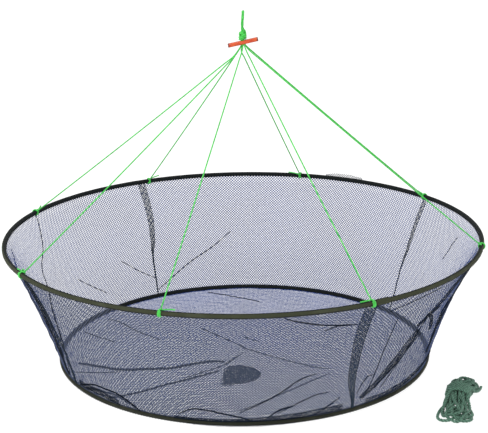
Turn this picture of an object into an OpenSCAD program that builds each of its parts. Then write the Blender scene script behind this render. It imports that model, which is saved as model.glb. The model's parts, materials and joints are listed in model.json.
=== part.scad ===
// A collapsible net trap: a shallow conical basket of fine netting on two spring-wire hoops,
// lifted by eight thin cords that meet under a cross bar, a stopper knot and a hanging loop.
// Millimetres. The origin is where a line or hook bears on the crown of the hanging loop,
// +Z is up, +X is right and the front is towards -Y.

/* [Hoops] */
// Position of the hoops' middle, to the right of the hanging loop
hoop_x = -4.5; // [-10:0.5:10]
// Diameter of the top hoop, across the middle of its wire
top_hoop_d = 800; // [720:5:840]
// Diameter of the base hoop, across the middle of its wire
base_hoop_d = 630; // [560:5:640]
// Depth of the basket, from hoop to hoop
basket_depth = 205; // [160:5:260]
// Spring wire thickness
wire_d = 3; // [2:0.5:3.5]
// Thickness of the woven sleeve round the wire
sleeve_d = 7.5; // [7:0.5:9]

/* [Net] */
// Thickness of the netting with its folds
net_t = 1.2; // [0.8:0.2:2]
// Thickness of the doubled netting in a side seam
seam_t = 2; // [1.6:0.2:3]
// Width of a side seam, as an angle round the hoop
seam_angle = 3.2; // [2:0.2:4]
// Length and width of the bait pocket
pocket_l = 104; // [80:2:140]
pocket_w = 64; // [50:2:100]
// Height of the bait pocket
pocket_h = 9; // [7:1:14]

/* [Bridle] */
// Thickness of a bridle cord
cord_d = 1.8; // [1.4:0.1:2.5]
// Height of the point where the cords meet, above the top hoop
bridle_rise = 321; // [260:1:360]
// Angle of each cord's knot round the top hoop, from +X towards +Y
knot_angles = [210.5, 158.5, 117, 73.5, 33, 347.5, 298, 252.5];
// Angle of each side seam
seam_angles = [33, 118, 210, 299];

/* [Cross bar] */
// Length, depth and thickness of the bar
bar_l = 50; // [44:1:64]
bar_w = 10; // [9.6:0.2:13]
bar_t = 6.2; // [5.4:0.2:8]
// Lift of the bar's right end, as an angle
bar_tilt = 12; // [0:1:20]
// Radius of the bundle of cords that passes through the bar
bundle_r = 3; // [2.5:0.1:3.2]
// Length of the hanging loop and stopper knot, from the crown down to the middle of the bar
bar_drop = 48; // [44:1:60]

/* [Haul line] */
// Length and width of the tied hank, across its outside
hank_l = 188; // [160:2:220]
hank_w = 70; // [60:2:80]
// Height of the hank
hank_h = 36; // [30:1:45]

/* [Hidden] */
cord_r = cord_d / 2;
sleeve_r = sleeve_d / 2;
top_r = top_hoop_d / 2;
base_r = base_hoop_d / 2;
top_z = -bar_drop - 5 - bridle_rise; // the cords' lines meet 5 mm below the middle of the bar
base_z = top_z - basket_depth;
floor_z = base_z - sleeve_r;        // the lowest level, where the trap stands

bore_play = 0.06;                   // radial running clearance of the bar on the cords
ferrule_play = 0.05;
ferrule_wall = 0.8;
ferrule_l = 24;
wire_gap = 0.4;                     // between the two ends of a wire, inside the ferrule
ferrule_angle = 105;
sleeve_bore_r = wire_d / 2 + ferrule_play + ferrule_wall + 0.15;
overlap_t = 1.2;                    // how much thicker the sleeve is where its ends overlap
net_gap = 6;                        // from the middle of a wire to the netting's edge
hitch_l = 6;
hitch_t = 1.9;
hitch_knot_r = 2.6;
hitch_tail_angle = 2.6;
fine = 96;                          // facets of large round shapes as drawn
round_fn = 32;

knots = len(knot_angles);
seams = len(seam_angles);
slant = [base_r - top_r, base_z - top_z] / norm([base_r - top_r, base_z - top_z]);
flat_out = [-slant[1], slant[0]];   // square to the wall, outwards
bar_axis = [-sin(bar_tilt), 0, cos(bar_tilt)];
splay_r = 3.8;                      // where the cords fan out below the bundle
splay_at = -5.5;                    // along the bundle's axis, from the middle of the bar

// Half of the hanging loop's route, from the stopper knot up to the crown. It is widest across Y.
loop_r = 2.2;
loop_side = [[-1, 2.2, 21 - bar_drop], [-1, 2.5, -22.5], [-0.9, 4, -18], [-0.6, 5.9, -13],
             [-0.2, 6.8, -8.5], [0.2, 6.3, -4.4], [0.4, 4.7, -0.8], [0.6, 2.5, 1.4]];
loop_back = [for (i = [len(loop_side) - 1:-1:0]) [loop_side[i][0], -loop_side[i][1], loop_side[i][2]]];
loop_route = concat(loop_side, [[0.6, 0, loop_r]], loop_back);

function numbered(name, count) = [for (i = [1:count]) str(name, "_", i)];

function unit(v) = v / norm(v);
function hoop_point(angle, r, z) = [hoop_x + r * cos(angle), r * sin(angle), z];

// Places children with their Z axis along a direction, from a point.
module aimed(from, dir) {
    u = unit(dir);
    translate(from) rotate([0, acos(u[2]), atan2(u[1], u[0])]) children();
}

// A square-section or round-section arc round a hoop, centred at an angle.
module hoop_arc(r, z, at, span) {
    translate([hoop_x, 0, z]) rotate([0, 0, at - span / 2])
        rotate_extrude(angle = span, $fn = 2 * fine) translate([r, 0]) children();
}

// A tube of 8 sides along a route that lies close to the YZ plane.
module route_tube(route, r) {
    n = len(route);
    sides = 8;
    points = [for (i = [0:n - 1])
        let (along = unit(route[min(i + 1, n - 1)] - route[max(i - 1, 0)]),
             across = unit(cross(along, [1, 0, 0])),
             other = cross(across, along))
        for (k = [0:sides - 1]) let (turn = k * 360 / sides)
            route[i] + r * (cos(turn) * other + sin(turn) * across)];
    walls = [for (i = [0:n - 2]) for (k = [0:sides - 1])
        let (a = i * sides, b = a + sides, next = (k + 1) % sides)
            [a + k, a + next, b + next, b + k]];
    start = [for (k = [sides - 1:-1:0]) k];
    end = [for (k = [0:sides - 1]) (n - 1) * sides + k];
    polyhedron(points, concat([start, end], walls), convexity = 4);
}

module hanging_loop() {
    color("limegreen") route_tube(loop_route, loop_r);
}

// Two round bulges, one above the other, cut flat where they sit on the cross bar.
module stopper_knot() {
    seat = bar_t / 2 + 0.4;
    color("limegreen") difference() {
        union() {
            translate([-0.5, 0, 10 - bar_drop]) sphere(r = 7, $fn = 48);
            translate([-1, 0, 18 - bar_drop]) sphere(r = 5.4, $fn = 48);
        }
        aimed([0, 0, -bar_drop], bar_axis) translate([0, 0, seat - 10]) cube([30, 30, 20], center = true);
    }
}

// The cords gathered through the bar, with the ball where they fan out.
module cord_bundle() {
    color("forestgreen") aimed([0, 0, -bar_drop], bar_axis) {
        translate([0, 0, splay_at]) cylinder(r = bundle_r, h = bar_t / 2 + 0.4 - splay_at, $fn = round_fn);
        translate([0, 0, splay_at]) sphere(r = splay_r, $fn = round_fn);
    }
}

splay_point = [0, 0, -bar_drop] + splay_at * bar_axis;

module bridle_cord(i) {
    end = hoop_point(knot_angles[i], top_r, top_z);
    run = norm(end - splay_point) - splay_r - (sleeve_r + hitch_knot_r - 0.6) - hitch_knot_r - 0.3;
    color("springgreen") aimed(splay_point, end - splay_point)
        translate([0, 0, splay_r]) cylinder(r = cord_r, h = run, $fn = 16);
}

// Moulded bar with rounded edges, a cross hole for the cords and hollow ends.
module toggle_bar() {
    edge = 2;
    pocket_d = 12;
    wall = 1.4;
    color("orangered") aimed([0, 0, -bar_drop], bar_axis) difference() {
        translate([-bar_l / 2, 0, 0]) rotate([90, 0, 90]) linear_extrude(bar_l) {
            square([bar_w - 2 * edge, bar_t], center = true);
            square([bar_w, bar_t - 2 * edge], center = true);
            for (y = [-1, 1], z = [-1, 1])
                translate([y * (bar_w / 2 - edge), z * (bar_t / 2 - edge)]) circle(r = edge, $fn = 24);
        }
        cylinder(r = bundle_r + bore_play, h = 2 * bar_t, center = true, $fn = 48);
        for (side = [-1, 1])
            translate([side * (bar_l / 2 - pocket_d / 2 + 1), 0, 0])
                cube([pocket_d + 2, bar_w - 2 * wall, bar_t - 2 * wall], center = true);
    }
}

module hoop_wire(r, z) {
    gap_angle = wire_gap / r * 180 / PI;
    color("silver") hoop_arc(r, z, ferrule_angle + 180, 360 - gap_angle) circle(d = wire_d, $fn = 24);
}

module hoop_ferrule(r, z) {
    bore = wire_d / 2 + ferrule_play;
    color("gray") hoop_arc(r, z, ferrule_angle, ferrule_l / r * 180 / PI) difference() {
        circle(r = bore + ferrule_wall, $fn = round_fn);
        circle(r = bore, $fn = round_fn);
    }
}

module hoop_sleeve(r, z) {
    color("darkolivegreen") translate([hoop_x, 0, z])
        rotate_extrude($fn = 2 * fine) translate([r, 0]) difference() {
            circle(d = sleeve_d, $fn = round_fn);
            circle(r = sleeve_bore_r, $fn = round_fn);
        }
}

module sleeve_overlap(r, z, at, length) {
    color("darkslategray") hoop_arc(r, z, at, length / r * 180 / PI) difference() {
        circle(r = sleeve_r + overlap_t, $fn = round_fn);
        circle(r = sleeve_r + 0.05, $fn = round_fn);
    }
}

// The side on which each hitch leaves its tail: 1 towards larger angles
tail_sides = [-1, -1, -1, 1, 1, -1, -1, 1];

// Turns of cord round the sleeve, a small knot where the bridle cord comes in, and the cord's tail.
module hoop_hitch(i) {
    at = knot_angles[i];
    tail_at = at + tail_sides[i] * hitch_tail_angle / 2;
    middle = hoop_point(at, top_r, top_z);
    wraps_in = sleeve_r + 0.05;
    tail_z = wraps_in + cord_r + 0.05;
    knot_off = sleeve_r + hitch_knot_r - 0.6;
    color("lime") {
        hoop_arc(top_r, top_z, at, hitch_l / top_r * 180 / PI) difference() {
            circle(r = wraps_in + hitch_t, $fn = round_fn);
            circle(r = wraps_in, $fn = round_fn);
        }
        difference() {
            translate(middle + knot_off * unit(splay_point - middle)) sphere(r = hitch_knot_r, $fn = 24);
            hoop_arc(top_r, top_z, at, 4) circle(r = wraps_in + 0.3, $fn = round_fn);
        }
        hoop_arc(top_r, top_z + tail_z, tail_at, hitch_tail_angle) circle(r = cord_r, $fn = 16);
    }
}

// A stretch of the conical wall between two angles.
module wall_sector(from, to, thick) {
    top = [top_r, top_z] + net_gap * slant;
    base = [base_r, base_z] - net_gap * slant;
    half = thick / 2 * flat_out;
    translate([hoop_x, 0, 0]) rotate([0, 0, from]) rotate_extrude(angle = to - from, $fn = 2 * fine)
        polygon([top - half, top + half, base + half, base - half]);
}

module wall_panel(i) {
    from = seam_angles[i] + seam_angle / 2 + 0.1;
    next = i + 1 < seams ? seam_angles[i + 1] : seam_angles[0] + 360;
    color("slateblue") wall_sector(from, next - seam_angle / 2 - 0.1, net_t);
}

module wall_seam(i) {
    half = seam_angle / 2;
    color("midnightblue") wall_sector(seam_angles[i] - half, seam_angles[i] + half, seam_t);
}

module floor_net() {
    color("slategray") translate([hoop_x, 0, floor_z + 0.1])
        cylinder(r = base_r - net_gap, h = net_t, $fn = 2 * fine);
}

// The pocket is a roof of netting sewn to the floor along three sides, open towards the back.
pocket_y = -108;
pocket_x = hoop_x - 10;
pocket_z = floor_z + 0.1 + net_t + 0.1;
pocket_wall = 1;

module bait_pocket() {
    color("darkslateblue") translate([pocket_x, pocket_y, pocket_z]) difference() {
        translate([-pocket_w / 2, -pocket_l / 2, 0]) cube([pocket_w, pocket_l, pocket_h]);
        translate([-pocket_w / 2 + pocket_wall, -pocket_l / 2 + pocket_wall, -1])
            cube([pocket_w - 2 * pocket_wall, pocket_l, pocket_h - pocket_wall + 1]);
    }
}

module pocket_hem() {
    hem_r = 1.4;
    color("black") translate([pocket_x, pocket_y + pocket_l / 2 + hem_r + 0.1, pocket_z + pocket_h - hem_r])
        rotate([0, 90, 0]) cylinder(r = hem_r, h = pocket_w, center = true, $fn = 24);
}

// The spare haul line, folded into a hank and wrapped round the middle, on the ground beside the base hoop.
hank_at = [330, -240];
hank_turn = 75;
waist_w = 46;

module haul_line_hank() {
    lobe_r = hank_w / 2;
    small_r = lobe_r - 5;
    color("seagreen") translate([hank_at[0], hank_at[1], floor_z]) rotate([0, 0, hank_turn])
        linear_extrude(hank_h) {
            translate([-hank_l / 2 + lobe_r, 0]) circle(r = lobe_r, $fn = 64);
            translate([hank_l / 2 - small_r, 0]) circle(r = small_r, $fn = 64);
            square([hank_l - 2 * lobe_r, waist_w], center = true);
        }
}

hanging_loop();
stopper_knot();
cord_bundle();
toggle_bar();
for (i = [0:knots - 1]) {
    bridle_cord(i);
    hoop_hitch(i);
}
hoop_wire(top_r, top_z);  // top_hoop_wire
hoop_ferrule(top_r, top_z);  // top_hoop_ferrule
hoop_sleeve(top_r, top_z);  // top_hoop_sleeve
sleeve_overlap(top_r, top_z, 300.4, 24);  // top_sleeve_overlap
for (i = [0:seams - 1]) {
    wall_panel(i);
    wall_seam(i);
}
hoop_wire(base_r, base_z);  // base_hoop_wire
hoop_ferrule(base_r, base_z);  // base_hoop_ferrule
hoop_sleeve(base_r, base_z);  // base_hoop_sleeve
sleeve_overlap(base_r, base_z, 355, 24);  // base_sleeve_overlap
floor_net();
bait_pocket();
pocket_hem();
haul_line_hank();
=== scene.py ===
"""The looks of a folding crab trap: netting, wrapped hoops, tied cords, cross bar and hauling line."""

import json
import math

import bpy
import numpy as np
from mathutils import Matrix, Vector


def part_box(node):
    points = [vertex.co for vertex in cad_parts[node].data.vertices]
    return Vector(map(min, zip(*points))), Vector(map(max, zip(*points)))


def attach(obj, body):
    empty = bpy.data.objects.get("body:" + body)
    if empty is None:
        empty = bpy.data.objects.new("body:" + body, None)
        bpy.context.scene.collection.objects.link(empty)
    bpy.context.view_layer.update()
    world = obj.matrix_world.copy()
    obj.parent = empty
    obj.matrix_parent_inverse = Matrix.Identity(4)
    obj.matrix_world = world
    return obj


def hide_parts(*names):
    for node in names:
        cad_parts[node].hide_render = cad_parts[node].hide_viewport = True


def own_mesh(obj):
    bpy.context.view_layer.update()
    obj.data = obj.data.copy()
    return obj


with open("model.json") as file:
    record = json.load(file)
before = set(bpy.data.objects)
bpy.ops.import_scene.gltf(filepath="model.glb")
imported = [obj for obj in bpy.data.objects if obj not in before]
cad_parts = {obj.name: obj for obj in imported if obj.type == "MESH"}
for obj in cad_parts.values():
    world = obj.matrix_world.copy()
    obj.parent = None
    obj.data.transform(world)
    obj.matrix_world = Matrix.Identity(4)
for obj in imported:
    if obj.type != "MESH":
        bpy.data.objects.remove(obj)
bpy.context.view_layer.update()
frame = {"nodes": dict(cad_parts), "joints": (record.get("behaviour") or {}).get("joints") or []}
rng = np.random.default_rng(11)

# Sizes and angles that part.scad also holds, in metres and degrees.
CORD_R = 0.00118
CORD_PITCH = 0.0065
CORD_STEP = 0.0006  # between the points along a knot's or a bundle's cord
BUNDLE_R = 0.0021  # from the bar's axis to the cords through it
KNOT_ANGLES = [210.5, 158.5, 117, 73.5, 33, 347.5, 298, 252.5]
TAIL_SIDES = [-1, -1, -1, 1, 1, -1, -1, 1]
SEAM_ANGLES = [33, 118, 210, 299]
BAR_TILT = math.radians(12)
BAR_DROP = 0.048
SPLAY_AT = -0.0055
LOOP_SIDE = [(-0.001, 0.0022, -0.027), (-0.001, 0.0025, -0.0225), (-0.0009, 0.004, -0.018),
             (-0.0006, 0.0059, -0.013), (-0.0002, 0.0068, -0.0085), (0.0002, 0.0063, -0.0044),
             (0.0004, 0.0047, -0.0008), (0.0006, 0.0025, 0.0014)]
LOOP_TOP = (0.0006, 0, 0.0022)

UP = np.array([0.0, 0.0, 1.0])
BAR_AXIS = np.array([-math.sin(BAR_TILT), 0, math.cos(BAR_TILT)])
BAR_MIDDLE = np.array([0, 0, -BAR_DROP])


def unit(v):
    return v / np.maximum(np.linalg.norm(v, axis=-1, keepdims=True), 1e-12)


def between(turn, a, b):
    """The direction at a turn, in radians, from one direction towards another."""
    turn = np.asarray(turn)[..., None]
    return np.cos(turn) * a + np.sin(turn) * b


def level_way(turn):
    """The level direction at a turn, in radians, from +X towards +Y."""
    return between(turn, np.array([1.0, 0, 0]), np.array([0, 1.0, 0]))


class Hoop:
    """A hoop's measures, read from its wire and its sleeve."""

    def __init__(self, side):
        low, high = (np.array(corner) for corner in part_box(side + "_hoop_wire"))
        self.middle = (low + high) / 2
        self.wire_r = (high[2] - low[2]) / 2
        self.radius = (high[1] - low[1]) / 2 - self.wire_r
        low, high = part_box(side + "_hoop_sleeve")
        self.sleeve_r = (high[2] - low[2]) / 2

    def point(self, angle):
        """A point on the wire's middle, at an angle in degrees from +X towards +Y."""
        return self.middle + self.radius * level_way(np.radians(angle))

    def ways(self, at):
        """The level directions outward from the hoop and along it, at a point on its wire."""
        out = unit((at - self.middle) * [1, 1, 0])
        return out, np.cross(UP, out)


TOP = Hoop("top")
BASE = Hoop("base")
GROUND_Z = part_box("base_hoop_sleeve")[0][2]


# ---- lines and tubes ----


def run_of(path):
    """How far along a path each of its points is."""
    return np.concatenate([[0], np.cumsum(np.linalg.norm(np.diff(path, axis=0), axis=1))])


def resample(path, spacing):
    """Evenly spaced points along a path."""
    run = run_of(path)
    even = np.linspace(0, run[-1], max(2, round(run[-1] / spacing)) + 1)
    return np.stack([np.interp(even, run, path[:, k]) for k in range(path.shape[1])], 1)


def smooth_line(points, spacing):
    """Evenly spaced points along a smooth curve through a few points."""
    p = np.asarray(points, float)
    p = np.vstack([2 * p[0] - p[1], p, 2 * p[-1] - p[-2]])
    t = np.linspace(0, 1, 24, endpoint=False)[:, None]
    spans = [
        0.5 * (2 * b + (c - a) * t + (2 * a - 5 * b + 4 * c - d) * t**2 + (3 * b - a - 3 * c + d) * t**3)
        for a, b, c, d in zip(p, p[1:], p[2:], p[3:])
    ]
    return resample(np.vstack(spans + [p[-2][None]]), spacing)


def frames(path):
    """Two directions across a path at each point, which turn with it as little as possible."""
    along = unit(np.gradient(path, axis=0))
    side = np.cross(along[0], UP)
    if np.linalg.norm(side) < 0.1:
        side = np.cross(along[0], (1, 0, 0))
    sides = []
    for a in along:
        side = side - a * (side @ a)
        side = side / np.linalg.norm(side)
        sides.append(side)
    sides = np.array(sides)
    return sides, np.cross(along, sides)


def grid_faces(columns, rows, joined=(False, False)):
    """Quads of a grid of points, and their corners' columns and rows, which run past a join."""
    i, k = (np.arange(count - (not wraps)) for count, wraps in zip((columns, rows), joined))
    i, k = (g.ravel() for g in np.meshgrid(i, k, indexing="ij"))
    spots = np.stack([i, k, i + 1, k, i + 1, k + 1, i, k + 1], 1).reshape(-1, 4, 2)
    return spots[..., 0] % columns * rows + spots[..., 1] % rows, spots


class Pieces:
    """Collects the faces of many small forms into one mesh."""

    def __init__(self):
        self.verts, self.quads, self.tris, self.uvs = [], [], [], []
        self.count = 0

    def add(self, verts, quads, uv_quads, tris=(), uv_tris=()):
        self.verts.append(np.asarray(verts, float).reshape(-1, 3))
        self.quads.append(np.asarray(quads, int).reshape(-1, 4) + self.count)
        self.tris.append(np.asarray(tris, int).reshape(-1, 3) + self.count)
        self.uvs.append([np.asarray(uv, float).reshape(-1, 2) for uv in (uv_quads, uv_tris)])
        self.count += len(self.verts[-1])

    def tube(self, path, radius, sides=6, strands=0, pitch=1, groove=1):
        """A round tube, or a rope of strands that turn once in a pitch, along a path."""
        across, other = frames(path)
        run = run_of(path)
        radius = np.broadcast_to(radius, len(path))
        share = np.arange(sides) / sides
        shape = np.ones(sides)
        if strands:
            lobe = np.abs((share * strands) % 1 - 0.5) * 2  # 0 at a strand's crest and 1 in a groove
            shape = 1 - (1 - groove) * lobe**2.2
        angle = 2 * np.pi * (share + (run[:, None] / pitch if strands else 0 * run[:, None]))
        size = radius[:, None, None] * shape[:, None]
        wall = path[:, None] + size * between(angle, across[:, None], other[:, None])
        nose = unit(np.gradient(path, axis=0))
        tips = [path[0] - nose[0] * radius[0] * 0.5, path[-1] + nose[-1] * radius[-1] * 0.5]
        quads, spots = (g[:, [0, 3, 2, 1]] for g in grid_faces(len(path), sides, joined=(False, True)))
        uv_quads = np.stack([run[spots[..., 0]], spots[..., 1] / sides], -1)
        k, tip = np.arange(sides), len(path) * sides
        nxt = (k + 1) % sides
        tris = np.vstack([np.stack([nxt, k, 0 * k + tip], 1),
                          np.stack([tip - sides + k, tip - sides + nxt, 0 * k + tip + 1], 1)])
        ends = np.repeat([run[0], run[-1]], sides)
        uv_tris = np.repeat(np.stack([ends, np.tile(share, 2)], 1), 3, axis=0)
        self.add(np.vstack([wall.reshape(-1, 3), tips]), quads, uv_quads, tris, uv_tris)

    def cord(self, path, radius=CORD_R, groove=0.62):
        """A length of the green cord, which is laid of three strands."""
        self.tube(path, radius, 12, 3, CORD_PITCH, groove)

    def mesh(self, name, uv_name="run"):
        """The mesh object of everything collected."""
        verts = np.vstack(self.verts).astype(np.float32)
        quads, tris = np.vstack(self.quads), np.vstack(self.tris)
        corners = np.concatenate([quads.ravel(), tris.ravel()]).astype(np.int32)
        starts = np.concatenate([np.arange(len(quads)) * 4, len(quads) * 4 + np.arange(len(tris)) * 3])
        mesh = bpy.data.meshes.new(name)
        mesh.vertices.add(len(verts))
        mesh.vertices.foreach_set("co", verts.ravel())
        mesh.loops.add(len(corners))
        mesh.loops.foreach_set("vertex_index", corners)
        mesh.polygons.add(len(starts))
        mesh.polygons.foreach_set("loop_start", starts.astype(np.int32))
        mesh.polygons.foreach_set("use_smooth", np.full(len(starts), True))
        uvs = np.vstack([u[0] for u in self.uvs] + [u[1] for u in self.uvs]).astype(np.float32)
        mesh.uv_layers.new(name=uv_name).data.foreach_set("uv", uvs.ravel())
        mesh.update(calc_edges=True)
        return add_object(name, mesh)


def add_object(name, data):
    """A new object in the scene."""
    obj = bpy.data.objects.new(name, data)
    bpy.context.scene.collection.objects.link(obj)
    return obj


def add_square(name, half, height):
    """A level square over the middle."""
    mesh = bpy.data.meshes.new(name)
    corners = [(x * half, y * half, height) for x, y in ((-1, -1), (1, -1), (1, 1), (-1, 1))]
    mesh.from_pydata(corners, [], [(0, 1, 2, 3)])
    return add_object(name, mesh)


def paint(obj, look):
    """Gives a piece its only material."""
    obj.data.materials.clear()
    obj.data.materials.append(look)


def place(obj, look, body, slot, *replaced):
    """Gives a piece its material and its body, and hides the CAD nodes it stands for. The slot is not used.
    """
    paint(obj, look)
    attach(obj, body)
    if replaced:
        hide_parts(*replaced)
    return obj


# ---- materials ----


class Value:
    """A number that a material's nodes work out, which takes plain arithmetic."""

    def __init__(self, look, socket):
        self.look, self.socket = look, socket

    def __add__(self, other):
        return self.look.math("ADD", self, other)

    def __sub__(self, other):
        return self.look.math("SUBTRACT", self, other)

    def __mul__(self, other):
        return self.look.math("MULTIPLY", self, other)

    def __truediv__(self, other):
        return self.look.math("DIVIDE", self, other)

    def remap(self, low, high, to_low=0.0, to_high=1.0):
        """The value, moved from one range to another and kept inside it."""
        inputs = {"Value": self, "From Min": low, "From Max": high, "To Min": to_low, "To Max": to_high}
        return Value(self.look, self.look.node("MapRange", inputs).outputs[0])


class Look:
    """A material, built from a few kinds of node."""

    def __init__(self, name, **values):
        self.mat = bpy.data.materials.new(name)
        self.mat.use_nodes = True
        self.tree = self.mat.node_tree
        self.shader = self.tree.nodes["Principled BSDF"]
        for key, value in values.items():
            self.shader.inputs[key.replace("_", " ")].default_value = value

    def link(self, value, socket):
        """Feeds a socket from a value, from another node or with a constant."""
        value = value.socket if isinstance(value, Value) else value
        if isinstance(value, bpy.types.NodeSocket):
            self.tree.links.new(value, socket)
        else:
            socket.default_value = value

    def node(self, kind, inputs=(), **settings):
        n = self.tree.nodes.new("ShaderNode" + kind)
        for key, value in settings.items():
            setattr(n, key, value)
        for name, value in dict(inputs).items():
            self.link(value, n.inputs[name])
        return n

    def set(self, name, value):
        self.link(value, self.shader.inputs[name])

    def place(self, uv=None):
        """Coordinates in metres: the object's own, or those of a UV map."""
        if uv:
            return self.node("UVMap", uv_map=uv).outputs[0]
        return self.node("TexCoord").outputs["Object"]

    def parts(self, vector):
        """The three numbers of a vector."""
        return [Value(self, part) for part in self.node("SeparateXYZ", {0: vector}).outputs]

    def noise(self, coords, scale, detail=3.0, stretch=(1, 1, 1)):
        spread = self.node("Mapping", {"Vector": coords, "Scale": stretch}).outputs[0]
        inputs = {"Vector": spread, "Scale": scale, "Detail": detail}
        return Value(self, self.node("TexNoise", inputs).outputs["Fac"])

    def math(self, operation, a, b=0.0):
        return Value(self, self.node("Math", {0: a, 1: b}, operation=operation).outputs[0])

    def mix(self, share, a, b):
        """A colour between two others."""
        a, b = ((*c, 1) if isinstance(c, tuple) else c for c in (a, b))
        return self.node("Mix", {0: share, 6: a, 7: b}, data_type="RGBA").outputs[2]

    def bump(self, height, strength, distance):
        n = self.node("Bump", {"Height": height, "Strength": strength, "Distance": distance})
        self.set("Normal", n.outputs[0])


def cord_look(name, dark, bright, fibres, roughness=0.55, strands=0):
    """Twisted synthetic cord: uneven dye, fine fibres along its strands, and, when strands are given,
    painted shade in the grooves between them.
    """
    look = Look(name, Roughness=roughness, Sheen_Weight=0.25, Sheen_Roughness=0.5)
    dye = look.noise(look.place(), 260, 4)
    thread = look.noise(look.place("run"), fibres, 2, (0.35, 9, 1))
    color = look.mix((dye * 0.5 + thread * 0.5).remap(0.36, 0.62), dark, bright)
    if strands:
        # Painted shade: the colour turns near black in the grooves between the strands.
        around = look.parts(look.place("run"))[1] * strands
        side = look.math("ABSOLUTE", look.math("FRACT", around) - 0.5)
        color = look.mix(side.remap(0.24, 0.5, 0, 0.95), color, tuple(c * 0.12 for c in dark))
    look.set("Base Color", color)
    look.set("Roughness", thread.remap(0.3, 0.7, roughness - 0.1, roughness + 0.15))
    look.bump(thread, 0.5, 0.0003)
    return look.mat


def netting_look(name, dark, bright, painted_outer_light=None):
    """Dyed net yarn, with slow drifts of tone, and painted light: a lighter grey where it faces out of the
    basket, and where it faces down.
    """
    look = Look(name, Roughness=0.7, Specular_IOR_Level=0.1)
    slow = look.noise(look.place(), 9, 2)
    fine = look.noise(look.place(), 700, 2)
    color = look.mix((slow * 0.6 + fine * 0.4).remap(0.38, 0.62), dark, bright)
    if painted_outer_light:
        x, y, _ = look.parts(look.place())
        face_x, face_y, face_up = look.parts(look.node("NewGeometry").outputs["Normal"])
        outward = (x * face_x + y * face_y) / look.math("SQRT", x * x + y * y)
        # Painted light: yarn facing out of the basket turns a lighter grey, and so does yarn facing down.
        color = look.mix((face_up * 0.45 - outward * 0.9).remap(-0.15, 0.15), painted_outer_light, color)
    look.set("Base Color", color)
    return look.mat


def sleeve_look(name, hoop, olive, worn):
    """Woven tape, with painted light and shade: olive where it faces out of the hoop and a little up, as if
    lit, and very dark elsewhere as painted shade.
    """
    look = Look(name, Roughness=0.8, Specular_IOR_Level=0.25)
    x, y, z = look.parts(look.place())
    x = x - hoop.middle[0]
    outside = (look.math("SQRT", x * x + y * y) - hoop.radius) / hoop.sleeve_r
    height = (z - hoop.middle[2]) / hoop.sleeve_r
    patchy = look.noise(look.place(), 60, 3)
    # Painted light and shade: the share of lit olive grows where the tape faces out and up, and the rest is
    # painted shade.
    share = (outside * 0.94 + height * 0.34 + patchy * 0.3).remap(0.78, 1.0)
    along, around, _ = look.parts(look.place("run"))
    ribs = look.math("SINE", along * (2 * math.pi / TAPE_RIB))
    warp = look.math("SINE", around * (2 * math.pi * TAPE_WARPS))
    weave = ribs * warp
    lit = look.mix(weave.remap(-1, 1), tuple(c * 0.6 for c in olive), olive)
    lit = look.mix(look.noise(look.place(), 35, 5).remap(0.52, 0.75, 0, 0.5), lit, worn)
    shaded_dark = look.mix(weave.remap(-1, 1), (0.003, 0.005, 0.005), (0.007, 0.011, 0.011))
    look.set("Base Color", look.mix(share, shaded_dark, lit))
    look.bump(weave, 0.6, 0.0003)
    return look.mat


def bar_look():
    """Moulded orange-red plastic, a little mottled and scuffed, with painted shade darkening it at its open
    ends.
    """
    look = Look("bar_plastic", Roughness=0.35, Coat_Weight=0.15, Coat_Roughness=0.3)
    spot = look.place()
    cloud = look.noise(spot, 90, 4)
    scuffs = look.noise(spot, 900, 3, (0.25, 1, 1))
    low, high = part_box("toggle_bar")
    half = (high[0] - low[0]) / 2
    from_end = look.math("ABSOLUTE", look.parts(spot)[0]) + cloud * 0.002
    # Painted shade in the open ends: the colour darkens within a few millimetres of each end.
    end_shade = from_end.remap(half - 0.0024, half - 0.0004, 0, 0.9)
    red = look.mix(cloud.remap(0.35, 0.65), (0.58, 0.05, 0.004), (0.78, 0.105, 0.007))
    red = look.mix(scuffs.remap(0.6, 0.8, 0, 0.35), red, (0.85, 0.2, 0.03))
    look.set("Base Color", look.mix(end_shade, red, (0.05, 0.01, 0.006)))
    look.set("Roughness", scuffs.remap(0.3, 0.75, 0.28, 0.5))
    look.bump(scuffs, 0.25, 0.0002)
    return look.mat


def metal_look(name, dark, bright, grain):
    """Drawn or crimped metal with fine scratches."""
    look = Look(name, Metallic=1.0, Roughness=0.35)
    scratches = look.noise(look.place(), grain, 4)
    look.set("Base Color", look.mix(scratches, dark, bright))
    look.set("Roughness", scratches.remap(0.3, 0.7, 0.25, 0.5))
    look.bump(scratches, 0.2, 0.0001)
    return look.mat


TAPE_RIB = 0.0011  # from one rib of the woven tape to the next
TAPE_WARPS = 22  # round the sleeve
GREEN = cord_look("bridle_cord", (0.02, 0.42, 0.03), (0.1, 0.86, 0.12), 900)
# The haul line's three strands get painted shade in the grooves between them.
ROPE = cord_look("haul_line", (0.035, 0.115, 0.072), (0.15, 0.34, 0.235), 500, 0.6, 3)
# The last colour is painted light, for yarn that faces out of the basket.
NET = netting_look("netting", (0.016, 0.05, 0.235), (0.03, 0.076, 0.32), (0.09, 0.11, 0.17))
SEAM = netting_look("doubled_netting", (0.012, 0.024, 0.042), (0.024, 0.042, 0.068))
# Near-black yarn: the seam thread and the pocket hem, and also painted shade on the netting's folds and
# gathers and the dark lines along them.
THREAD_AND_FOLD_SHADE = netting_look("seam_thread", (0.004, 0.009, 0.018), (0.012, 0.02, 0.036))
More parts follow.
